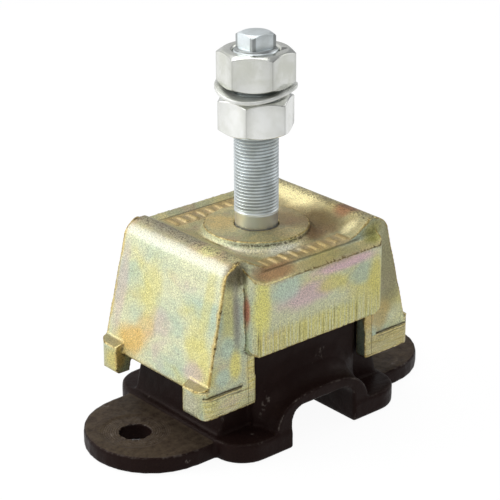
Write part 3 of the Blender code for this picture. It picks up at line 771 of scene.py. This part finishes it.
@dataclass(frozen=True)
class BlackPaint:
    """Thin black paint over a forged skin, dusty on top and worn on its edges."""

    name: str = "black_paint"
    deep: Colour = (0.0160, 0.0078, 0.0068)
    brown: Colour = (0.0185, 0.0092, 0.0080)
    dust: Colour = (0.095, 0.070, 0.047)
    bare: Colour = (0.26, 0.22, 0.19)
    glare: Colour = (1.0, 0.83, 0.76)
    roughness: Span = (0.26, 0.56)
    ring_r: Span = (0.0175, 0.0120)
    ring_pitch: float = 0.0010
    ring_wander: float = 0.0012
    upward: Span = (0.80, 0.98)
    over_foot_z: Span = (0.0080, 0.0094)

    def build(self) -> Material:
        """Make the material.

        Returns:
            The material.
        """
        material, g = new_material(self.name)
        coat = Coat(g, g.blend(g.window(g.cloud(70.0, 5.0, 0.6), 0.4, 0.65), self.deep, self.brown))
        flat = g.product(g.window(g.normal(2), *self.upward),
                         g.rest(g.window(g.place(2), *self.over_foot_z)))
        coat.add(self.dust, 1.0, flat, g.window(g.cloud(260.0, 6.0, 0.75), 0.15, 0.72))
        radius = g.radius(BOLT_X)
        turned = g.math("ADD", radius, g.product(self.ring_wander, g.cloud(200.0, 2.0)))
        wave = g.math("SINE", g.product(math.tau / self.ring_pitch, turned))
        rings = g.product(wave, g.window(radius, *self.ring_r), flat)
        for amount, share, spots in (
                (0.35, g.window(rings, 0.2, 1.0), g.window(g.cloud(900.0, 3.0), 0.45, 0.60)),
                (0.60, g.worn(0.516, 0.565), g.window(g.cloud(300.0, 5.0, 0.7), 0.46, 0.62)),
                (0.45, g.window(g.cloud(95.0, 2.0), 0.66, 0.72),
                 g.window(g.cloud(800.0, 4.0), 0.48, 0.58))):
            coat.add(self.bare, amount, share, spots)
        normal = g.bumps((g.cloud(120.0, 4.0), 0.4, 0.0010), (rings, 0.3, 0.00015),
                         (g.cloud(900.0, 3.0), 0.45, 0.00020))
        g.surface(Base_Color=coat.colour, Roughness=g.between(g.cloud(300.0, 3.0), *self.roughness),
                  Normal=normal, Specular_IOR_Level=0.08, Specular_Tint=self.glare)
        return material


@dataclass(frozen=True)
class MouldedRubber:
    """Matt black moulded rubber."""

    name: str = "moulded_rubber"
    base: Colour = (0.010, 0.010, 0.010)
    bloom: Colour = (0.030, 0.029, 0.027)

    def build(self) -> Material:
        """Make the material.

        Returns:
            The material.
        """
        material, g = new_material(self.name)
        colour = g.blend(g.window(g.cloud(90.0, 4.0), 0.45, 0.75), self.base, self.bloom)
        normal = g.bumps((g.cloud(1200.0, 3.0), 0.3, 0.0001))
        g.surface(Base_Color=colour, Roughness=0.72, Normal=normal)
        return material


STUD_ZINC = BrightZinc("stud_zinc", (0.86, 0.92, 0.94), (0.72, 0.77, 0.77), (0.30, 0.44), 0.80,
                       root_r=0.0090, crest_r=0.0095)
# One zinc on both nuts, painted lighter on the lower nut as painted light and darker on the upper
# nut as painted shade.
LOWER_NUT_PAINTED_LIGHT_ZINC = BrightZinc("lower_nut_zinc_painted_light", (0.95, 0.96, 0.93), (0.86, 0.87, 0.82),
                            (0.16, 0.28), 0.92, outline=0.85)
UPPER_NUT_PAINTED_SHADE_ZINC = BrightZinc("upper_nut_zinc_painted_shade", (0.83, 0.84, 0.80), (0.72, 0.73, 0.66),
                            (0.16, 0.28), 0.92, outline=0.85)
WASHER_STEEL = BrightZinc("washer_steel", (0.86, 0.87, 0.83), (0.70, 0.71, 0.67),
                          (0.40, 0.55), 0.80)


def merged_copy(node: str) -> Mesh:
    """A CAD node's mesh with its loose triangles merged.

    Args:
        node: the node's name.

    Returns:
        The bmesh.
    """
    bm = bmesh.new()
    bm.from_mesh(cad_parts[node].data)
    bmesh.ops.remove_doubles(bm, verts=bm.verts, dist=MERGE)
    return bm


def linked(name: str, data: bpy.types.ID) -> Piece:
    """A new object in the scene.

    Args:
        name: its name.
        data: its mesh, camera or light.

    Returns:
        The object.
    """
    thing = bpy.data.objects.new(name, data)
    bpy.context.scene.collection.objects.link(thing)
    return thing


def mesh_from(name: str, bm: Mesh) -> bpy.types.Mesh:
    """A mesh made from a bmesh.

    Args:
        name: its name.
        bm: the bmesh, freed here.

    Returns:
        The mesh.
    """
    mesh = bpy.data.meshes.new(name)
    bm.to_mesh(mesh)
    bm.free()
    return mesh


def add_piece(name: str, bm: Mesh, material: Material, node: str, body: Body | None = None,
              sharp_deg: float = 40.0) -> Piece:
    """Turn a bmesh into a dressed piece that takes its CAD node's place.

    Args:
        name: the piece's name.
        bm: its mesh, freed here.
        material: its finish.
        node: the node, whose name is also that of the record's material slot.
        body: the body it rides on, if it is one alone.
        sharp_deg: edges above this angle stay sharp.

    Returns:
        The piece.
    """
    mesh = mesh_from(name, bm)
    mesh.materials.append(material)
    mesh.shade_smooth()
    mesh.set_sharp_from_angle(angle=math.radians(sharp_deg))
    piece = linked(name, mesh)
    if body:
        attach(piece, body.value)
    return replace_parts(piece, node)


def apply_modifiers(bm: Mesh, *steps: tuple[str, dict[str, object]]) -> Mesh:
    """Run modifiers on a bmesh.

    Args:
        bm: the mesh, freed here.
        steps: each modifier's type and settings.

    Returns:
        The resulting bmesh.
    """
    mesh = mesh_from("work", bm)
    work = linked("work", mesh)
    for kind, settings in steps:
        modifier = work.modifiers.new(kind, kind)
        for key, value in settings.items():
            setattr(modifier, key, value)
    result = bmesh.new()
    result.from_object(work, bpy.context.evaluated_depsgraph_get())
    bpy.data.objects.remove(work)
    bpy.data.meshes.remove(mesh)
    return result


def softened(bm: Mesh, width: float, segments: int, angle_deg: float) -> Mesh:
    """Round the edges of a crisp mesh.

    Args:
        bm: the mesh, freed here.
        width: the bevel's width.
        segments: its steps.
        angle_deg: only edges above this angle are rounded.

    Returns:
        The resulting bmesh.
    """
    return apply_modifiers(bm, ("BEVEL", {
        "width": width, "segments": segments, "limit_method": "ANGLE", "profile": 0.5,
        "angle_limit": math.radians(angle_deg), "use_clamp_overlap": True}))


def forged(bm: Mesh, voxel: float, keep: float, relax: int,
           shape: Callable[[Vector, Vector], Vector]) -> Mesh:
    """Give a crisp mesh the soft edges and uneven skin of a forging.

    Args:
        bm: closed shells that may overlap, freed here.
        voxel: the remesh's cell.
        keep: the share of triangles that stays.
        relax: smoothing passes.
        shape: the move of a point, from its place and normal.

    Returns:
        The forged bmesh.
    """
    bm = apply_modifiers(bm, ("REMESH", {"mode": "VOXEL", "voxel_size": voxel, "adaptivity": 0.0}),
                         ("SMOOTH", {"factor": 0.5, "iterations": relax}))
    bm.normal_update()
    moves = [shape(v.co, v.normal) for v in bm.verts]
    for vert, move in zip(bm.verts, moves):
        vert.co += move
    return apply_modifiers(bm, ("DECIMATE", {"ratio": keep}))


def add_block(bm: Mesh, centre: Vector, size: Vector, radius: float) -> None:
    """Add a block with rounded edges to a bmesh.

    Args:
        bm: the mesh that takes it.
        centre: its middle.
        size: its full size.
        radius: its edges' radius.
    """
    made = bmesh.ops.create_cube(bm, size=1.0, matrix=Matrix.LocRotScale(centre, None, size))
    edges = list({edge for vert in made["verts"] for edge in vert.link_edges})
    bmesh.ops.bevel(bm, geom=edges, offset=radius, segments=2, profile=0.5, affect="EDGES",
                    material=-1)


def spun(profile: list[tuple[float, float]], steps: int) -> Mesh:
    """A closed solid of revolution about the stud's axis.

    Args:
        profile: (radius, height) points from the axis round to the axis.
        steps: facets round it.

    Returns:
        The bmesh.
    """
    bm = bmesh.new()
    verts = [bm.verts.new((radius, 0, z)) for radius, z in profile]
    edges = [bm.edges.new(pair) for pair in zip(verts, verts[1:])]
    bmesh.ops.spin(bm, geom=verts + edges, cent=(0, 0, 0), axis=(0, 0, 1), angle=math.tau,
                   steps=steps, use_merge=True, use_duplicate=False)
    bmesh.ops.remove_doubles(bm, verts=bm.verts, dist=SPIN_MERGE)
    bmesh.ops.recalc_face_normals(bm, faces=bm.faces)
    return bm


def grain(x: float, y: float, z: float) -> float:
    """Noise at a place, -1 to 1."""
    return noise.noise(Vector((x, y, z)))


def smooth_step(low: float, high: float, value: float) -> float:
    """A smooth step from 0 at low to 1 at high."""
    share = min(1.0, max(0.0, (value - low) / (high - low)))
    return share * share * (3 - 2 * share)


@dataclass
class ForgedCover:
    """The yellow bridge cover, with plain raised bars on the strips along its top."""

    finish: Material
    voxel: float = 0.0005
    keep: float = 0.4
    plate_z: float = 0.0838
    panel_y: float = 0.042
    panel_z: float = 0.0465
    panel_half_x: float = 0.0387
    strip_y: float = 0.0312
    bar_length: float = 0.0066
    bar_width: float = 0.0020
    bar_height: float = 0.0010
    bar_pitch: float = 0.0056
    bar_edge: float = 0.0003
    bar_count: int = 9
    skin: float = 0.00009
    shear: float = 0.00022
    shear_height: float = 0.014
    leg_band_z: float = 0.0337
    leg_strip_x: float = 0.0368
    groove_x: float = 0.0395
    leg_y: float = 0.0355
    chatter: float = 0.00010
    rim_y: float = 0.0405
    rim_z: float = 0.0790
    rim_jag: float = 0.00022
    groove: float = 0.00030
    side_y0: float = 0.03810
    side_slope: float = 0.02968
    relief: float = 0.0005
    relief_end_x: float = 0.0470
    climb_h: float = 0.0015
    hollow_w: float = 0.0060
    hollow_h: float = 0.0024
    hollow_z: tuple[float, float, float, float] = (0.0475, 0.0535, 0.0780, 0.0835)
    pad_x: float = 0.06195
    pad_y: float = 0.0373
    pad_top: float = 0.0368
    pad_corner_r: float = 0.0062

    def bars(self, bm: Mesh) -> None:
        """Add the raised bars of both strips.

        Args:
            bm: the mesh that takes them.
        """
        for side in (-1, 1):
            for k in range(self.bar_count):
                x = (k - (self.bar_count - 1) / 2) * self.bar_pitch
                add_block(bm, Vector((x, side * self.strip_y, self.plate_z)),
                          Vector((self.bar_width, self.bar_length, 2 * self.bar_height)),
                          self.bar_edge)

    def skin_move(self, co: Vector, normal: Vector) -> Vector:
        """How the skin departs from the plain form at one point.

        Args:
            co: the point.
            normal: its normal.

        Returns:
            The move.
        """
        move = normal * self.skin * (noise.noise(co * 90) + 0.5 * noise.noise(co * 240))
        on_panel = abs(normal.y) > 0.8 and abs(co.y) > self.panel_y - 0.002
        if on_panel and abs(co.x) < self.panel_half_x:
            tall = self.shear_height * (0.7 + 0.6 * grain(co.x * 130, 3.1, 0))
            share = 1 - smooth_step(self.panel_z + 0.4 * tall, self.panel_z + tall, co.z)
            move += normal * self.shear * share * grain(co.x * 900, 0.4, co.z * 30)
        on_leg = abs(normal.y) > 0.8 and abs(co.y) > self.leg_y and not on_panel
        if on_leg and (co.z < self.leg_band_z or abs(co.x) < self.leg_strip_x):
            cuts = grain(co.x * 25, 1.7, co.z * 1100)
            move += normal * self.chatter * cuts * (0.6 + grain(0, 2.2, co.z * 160))
        if on_leg and abs(co.x) > self.groove_x:
            off = abs(co.z - self.leg_band_z - 0.0006)
            move -= normal * self.groove * (1 - smooth_step(0.0002, 0.0008, off))
        if abs(co.y) > self.rim_y and co.z > self.rim_z and 0.1 < normal.z < 0.95:
            ragged = grain(co.x * 330, 5.0, co.z * 200) + grain(co.x * 1000, 7.0, 0)
            move += normal * self.rim_jag * ragged
        return move + self.leg_flow(co, normal) + self.pad_corner(co)

    def pad_corner(self, co: Vector) -> Vector:
        """How far a pad's upright corner is pulled in to its large radius.

        Args:
            co: the point.

        Returns:
            The move.
        """
        radius = self.pad_corner_r
        off = Vector((abs(co.x) - self.pad_x + radius, abs(co.y) - self.pad_y + radius, 0))
        if min(off.x, off.y) <= 0 or off.length <= radius:
            return Vector()
        share = 1 - smooth_step(self.pad_top, self.pad_top + 0.0016, co.z)
        pull = off * (share * (radius / off.length - 1))
        return Vector((math.copysign(1, co.x) * pull.x, math.copysign(1, co.y) * pull.y, 0))

    def leg_flow(self, co: Vector, normal: Vector) -> Vector:
        """How a leg's face runs on into its trimmed strip and swells up to the panel's side.

        Args:
            co: the point.
            normal: its normal.

        Returns:
            The move.
        """
        x, y, z = abs(co.x), abs(co.y), co.z
        face = self.side_y0 - self.side_slope * z
        if not (self.panel_half_x + 0.0001 < x < self.relief_end_x and z > self.leg_band_z
                and face - 0.0012 < y < face + 0.0025 and normal.y * co.y > 0):
            return Vector()
        sunk = self.relief * smooth_step(self.groove_x, self.relief_end_x, x)
        climb = smooth_step(self.leg_band_z, self.leg_band_z + self.climb_h, z)
        target = face - self.relief + (self.relief - sunk) * climb
        share = max(0.0, 1 - (x - self.panel_half_x) / self.hollow_w)
        low, full, fading, high = self.hollow_z
        swell = self.hollow_h * (1 - math.sqrt(1 - share ** 2))
        swell *= smooth_step(low, full, z) * (1 - smooth_step(fading, high, z))
        target = max(target, face - self.relief + swell)
        return Vector((0, math.copysign(max(0.0, target - y), co.y), 0))

    def build(self) -> list[Piece]:
        """Make the cover.

        Returns:
            Its pieces.
        """
        bm = merged_copy("top_cover")
        self.bars(bm)
        bm = forged(bm, self.voxel, self.keep, 2, self.skin_move)
        return [add_piece("cover_forging", bm, self.finish, "top_cover", Body.COVER, 60)]


@dataclass
class FootedCasting:
    """The black base with its ears, lobes, tunnel and hood."""

    finish: Material
    voxel: float = 0.0007
    keep: float = 0.55
    skin: float = 0.00012
    foot_z: float = 0.008
    ring_r: float = 0.0155
    ring_depth: float = 0.00035

    def skin_move(self, co: Vector, normal: Vector) -> Vector:
        """How the skin departs from the plain form at one point.

        Args:
            co: the point.
            normal: its normal.

        Returns:
            The move.
        """
        if co.z < 0.0006:
            return Vector()
        move = normal * self.skin * (noise.noise(co * 110) + 0.6 * noise.noise(co * 300))
        radius = math.hypot(abs(co.x) - BOLT_X, co.y)
        if normal.z > 0.8 and abs(co.z - self.foot_z) < 0.0015 and radius < self.ring_r + 0.002:
            sunk = 1 - smooth_step(self.ring_r - 0.0012, self.ring_r, radius)
            move.z -= self.ring_depth * sunk * (1 + 0.35 * noise.noise(co * 700))
        return move

    def build(self) -> list[Piece]:
        """Make the casting."""
        bm = forged(merged_copy("base_casting"), self.voxel, self.keep, 6, self.skin_move)
        return [add_piece("base_forging", bm, self.finish, "base_casting", Body.BASE, 60)]


@dataclass
class ThreadedStud:
    """The stud with its real thread, plain neck, head and square end."""

    finish: Material
    crest_r: float = 0.0099
    neck_r: float = 0.0096
    pitch: float = 0.0015
    depth: float = 0.00088
    steps: int = 96
    rings_per_turn: int = 16
    run_out: float = 0.0022
    head_r: float = 0.0145
    head_t: float = 0.005
    boss_z: float = 0.0876
    neck_h: float = 0.0063
    top_z: float = 0.168
    chamfer: float = 0.0012
    square_foot: float = 0.0002
    square_edge: float = 0.00022

    def profile(self) -> list[tuple[float, float]]:
        """The stud's outline from the head's middle up to the top's middle.

        Returns:
            The outline's (radius, height) points.
        """
        low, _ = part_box("stud")
        start = self.boss_z + self.neck_h
        count = round((self.top_z - self.chamfer - start) / self.pitch * self.rings_per_turn)
        rise = (self.top_z - self.chamfer - start) / count
        neck = [(0, low.z), (self.head_r - 0.001, low.z), (self.head_r, low.z + 0.001),
                (self.head_r, low.z + self.head_t), (self.neck_r, low.z + self.head_t),
                (self.neck_r, start - 0.0004)]
        thread = [(self.crest_r, start + k * rise) for k in range(count + 1)]
        end = [(self.crest_r - self.chamfer * (k + 1) / 6, self.top_z - self.chamfer * (5 - k) / 6)
               for k in range(6)]
        return neck + thread + end + [(0, self.top_z)]

    def cut(self, angle: float, z: float) -> float:
        """The thread's depth at an angle and height, run out at its foot.

        Args:
            angle: angle round the stud.
            z: height.

        Returns:
            The depth below the crest.
        """
        phase = (z / self.pitch - angle / math.tau) % 1.0
        flank = min(1.0, max(0.0, (abs(phase - 0.5) * 2 - 0.12) / 0.68))
        start = self.boss_z + self.neck_h
        return self.depth * flank * smooth_step(start, start + self.run_out, z)

    def build(self) -> list[Piece]:
        """Make the stud.

        Returns:
            Its pieces.
        """
        bm = spun(self.profile(), self.steps)
        for vert in bm.verts:
            radius = math.hypot(vert.co.x, vert.co.y)
            if vert.co.z < self.boss_z + self.neck_h or radius < 0.004:
                continue
            root = self.crest_r - self.cut(math.atan2(vert.co.y, vert.co.x), vert.co.z)
            if radius > root:
                vert.co.x *= root / radius
                vert.co.y *= root / radius
        return [add_piece("threaded_stud", bm, self.finish, "stud", Body.COVER, 75),
                self.square()]

    def square(self) -> Piece:
        """The square end that a spanner holds, taken from the solid and softened.

        Returns:
            Its piece.
        """
        bm = merged_copy("stud")
        every = bm.verts[:] + bm.edges[:] + bm.faces[:]
        cut = bmesh.ops.bisect_plane(bm, geom=every, plane_co=(0, 0, self.top_z + self.square_foot),
                                     plane_no=(0, 0, 1), clear_inner=True)
        rim = [e for e in cut["geom_cut"] if isinstance(e, bmesh.types.BMEdge)]
        bmesh.ops.holes_fill(bm, edges=rim)
        bmesh.ops.dissolve_limit(bm, angle_limit=math.radians(2), verts=bm.verts, edges=bm.edges)
        for vert in bm.verts:
            if vert.co.z < self.top_z + 2 * self.square_foot:
                vert.co.z = self.top_z - self.square_foot
        bmesh.ops.recalc_face_normals(bm, faces=bm.faces)
        bm = softened(bm, self.square_edge, 2, 14)
        return add_piece("stud_square", bm, self.finish, "stud", Body.COVER, 20)


@dataclass
class HexNut:
    """One nut, its edges softened as cold-formed ones are."""

    node: str
    body: Body
    finish: Material
    edge: float = 0.00030

    def build(self) -> list[Piece]:
        """Make the nut.

        Returns:
            Its pieces.
        """
        bm = merged_copy(self.node)
        bmesh.ops.dissolve_limit(bm, angle_limit=math.radians(1), verts=bm.verts, edges=bm.edges)
        bm = softened(bm, self.edge, 3, 18)
        return [add_piece(self.node + "_turned", bm, self.finish, self.node, self.body, 14)]


@dataclass
class CurvedWasher:
    """The curved spring washer."""

    finish: Material
    edge: float = 0.00030

    def build(self) -> list[Piece]:
        """Make the washer."""
        bm = softened(merged_copy("spring_washer"), self.edge, 2, 50)
        return [add_piece("curved_washer", bm, self.finish, "spring_washer", Body.LOWER_NUT)]


@dataclass
class BondedRubber:
    """The two leaning pads and the bump stop."""

    finish: Material
    coarse: float = 0.004
    cuts: int = 5

    def pad(self, node: str) -> Piece:
        """One leaning pad between the base and the cover, its long edges cut finer.

        Args:
            node: the CAD node it stands for.

        Returns:
            Its piece.
        """
        bm = merged_copy(node)
        long_edges = [edge for edge in bm.edges if edge.calc_length() > self.coarse]
        bmesh.ops.subdivide_edges(bm, edges=long_edges, cuts=self.cuts)
        bmesh.ops.triangulate(bm, faces=bm.faces)
        piece = add_piece(node + "_pad", bm, self.finish, node)
        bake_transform(piece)
        return piece

    def build(self) -> list[Piece]:
        """Make the rubber.

        Returns:
            Its pieces.
        """
        buffer = add_piece("bump_stop", merged_copy("rubber_buffer"), self.finish,
                           "rubber_buffer", Body.BASE)
        return [self.pad("rubber_left"), self.pad("rubber_right"), buffer]


@dataclass(frozen=True)
class Lamp:
    """A soft box: its azimuth and elevation in degrees, its reach and size, its power in watts."""

    name: str
    azimuth: float
    elevation: float
    reach: float
    size: float
    power: float


def way_back(azimuth: float, elevation: float) -> Vector:
    """The way out to an azimuth, from -Y to the right, and an elevation, in radians."""
    return Vector((math.sin(azimuth) * math.cos(elevation),
                   -math.cos(azimuth) * math.cos(elevation), math.sin(elevation)))


@dataclass
class Studio:
    """A pale floor, a white surround, soft lights and the photograph's camera."""

    azimuth: float = math.radians(-40.326)
    elevation: float = math.radians(22.609)
    roll: float = math.radians(-0.278)
    distance: float = 0.76938
    aim_side: float = -0.0029054
    aim_z: float = 0.0743877
    sensor_mm: float = 36.0
    lens_px: float = 1725.344
    picture_px: int = 500
    floor_size: float = 12.0
    floor_tint: Colour = (0.80, 0.80, 0.80)
    floor_glow: float = 1.07
    floor_z: float = -0.0002
    floor_hole_r: Span = (0.009, 0.012)
    floor_white: float = 0.88
    floor_mirrored: Span = (0.56, 0.88)
    floor_fade: Span = (0.10, 0.40)
    backdrop: tuple[float, float, float] = (-0.68, 0.70, 0.22)
    backdrop_edge: Span = (-0.35, 0.75)
    backdrop_share: float = 0.714
    surround: float = 0.30
    surround_tint: Colour = (0.95, 0.97, 1.0)
    lamps: list[Lamp] = field(default_factory=lambda: [
        Lamp("key", -128, 32, 0.90, 0.60, 3.3),
        Lamp("front", -35, 48, 1.30, 0.90, 2.1),
        Lamp("right", 80, 30, 1.60, 0.90, 3.2),
        Lamp("top", 175, 74, 1.30, 0.80, 4.0),
    ])

    def camera(self) -> None:
        """Place the camera where the photograph was taken."""
        back = way_back(self.azimuth, self.elevation)
        right = Vector((math.cos(self.azimuth), math.sin(self.azimuth), 0))
        up = back.cross(right)
        aim = Vector((0, 0, self.aim_z)) + right * self.aim_side
        turned_right = right * math.cos(self.roll) + up * math.sin(self.roll)
        turned_up = up * math.cos(self.roll) - right * math.sin(self.roll)
        data = bpy.data.cameras.new("camera")
        data.lens = self.lens_px / self.picture_px * self.sensor_mm
        data.sensor_width = self.sensor_mm
        data.clip_start, data.clip_end = 0.05, 50.0
        camera = linked("camera", data)
        turn = Matrix((turned_right, turned_up, back)).transposed().to_4x4()
        camera.matrix_world = Matrix.Translation(aim + back * self.distance) @ turn
        bpy.context.scene.camera = camera

    def floor(self) -> None:
        """Lay the pale floor, white to the camera and still catching the shadow."""
        bm = bmesh.new()
        bmesh.ops.create_grid(bm, x_segments=1, y_segments=1, size=self.floor_size / 2)
        mesh = mesh_from("floor", bm)
        material, g = new_material("pale_floor")
        lit = g.node("BsdfDiffuse", {"Color": self.floor_tint})
        white = g.node("Emission", {"Strength": self.floor_glow})
        path = g.node("LightPath").outputs
        mirrored = g.math("ADD", path["Is Glossy Ray"], path["Is Transmission Ray"])
        behind = g.window(g.math("SUBTRACT", g.place(1), g.place(0)), *self.floor_fade)
        seen = g.math("ADD", g.product(self.floor_white, path["Is Camera Ray"]),
                      g.product(mirrored, g.between(behind, *self.floor_mirrored)), clamp=True)
        outside_holes = g.window(g.radius(BOLT_X), *self.floor_hole_r)
        g.two_shaders("OutputMaterial", g.product(seen, outside_holes), lit, white)
        mesh.materials.append(material)
        floor = linked("floor", mesh)
        floor.location.z = self.floor_z

    def world(self) -> None:
        """A soft grey surround that the camera and clear glass see as white."""
        world = bpy.data.worlds.new("surround")
        world.use_nodes = True
        bpy.context.scene.world = world
        g = Graph(world.node_tree)
        soft = g.node("Background", {"Color": self.surround_tint, "Strength": self.surround})
        white = g.node("Background", {"Color": (1.0, 1.0, 1.0)})
        toward = g.node("VectorMath", {0: g.node("TexCoord").outputs["Generated"],
                                       1: self.backdrop}, operation="DOT_PRODUCT")
        wide = g.window(toward.outputs["Value"], *self.backdrop_edge)
        path = g.node("LightPath").outputs
        through = g.math("ADD", path["Is Camera Ray"], path["Is Transmission Ray"])
        mirrored = g.product(self.backdrop_share, path["Is Glossy Ray"], wide)
        g.two_shaders("OutputWorld", g.math("ADD", through, mirrored, clamp=True), soft, white)

    def lights(self) -> None:
        """Hang the soft boxes round the mount, each facing it."""
        aim = Vector((0, 0, self.aim_z))
        for box in self.lamps:
            back = way_back(math.radians(box.azimuth), math.radians(box.elevation))
            data = bpy.data.lights.new(box.name, "AREA")
            data.size = box.size
            data.energy = box.power
            turn = back.to_track_quat("Z", "Y").to_matrix().to_4x4()
            place = Matrix.Translation(aim + back * box.reach)
            linked(box.name, data).matrix_world = place @ turn

    def build(self) -> None:
        """Set up the whole studio."""
        self.camera()
        self.floor()
        self.world()
        self.lights()
        bpy.context.scene.view_settings.view_transform = "Standard"


def main() -> None:
    """Dress the mount and set the studio."""
    logging.basicConfig(level=logging.INFO, format="%(message)s")
    parts = [
        FootedCasting(BlackPaint().build()),
        BondedRubber(MouldedRubber().build()),
        ForgedCover(YellowZinc().build()),
        ThreadedStud(STUD_ZINC.build()),
        HexNut("lower_nut", Body.LOWER_NUT, LOWER_NUT_PAINTED_LIGHT_ZINC.build()),
        CurvedWasher(WASHER_STEEL.build()),
        HexNut("upper_nut", Body.UPPER_NUT, UPPER_NUT_PAINTED_SHADE_ZINC.build()),
    ]
    for part in parts:
        for piece in part.build():
            LOG.info("%s: %d faces", piece.name, len(piece.data.polygons))
    Studio().build()


if __name__ == "__main__":
    main()
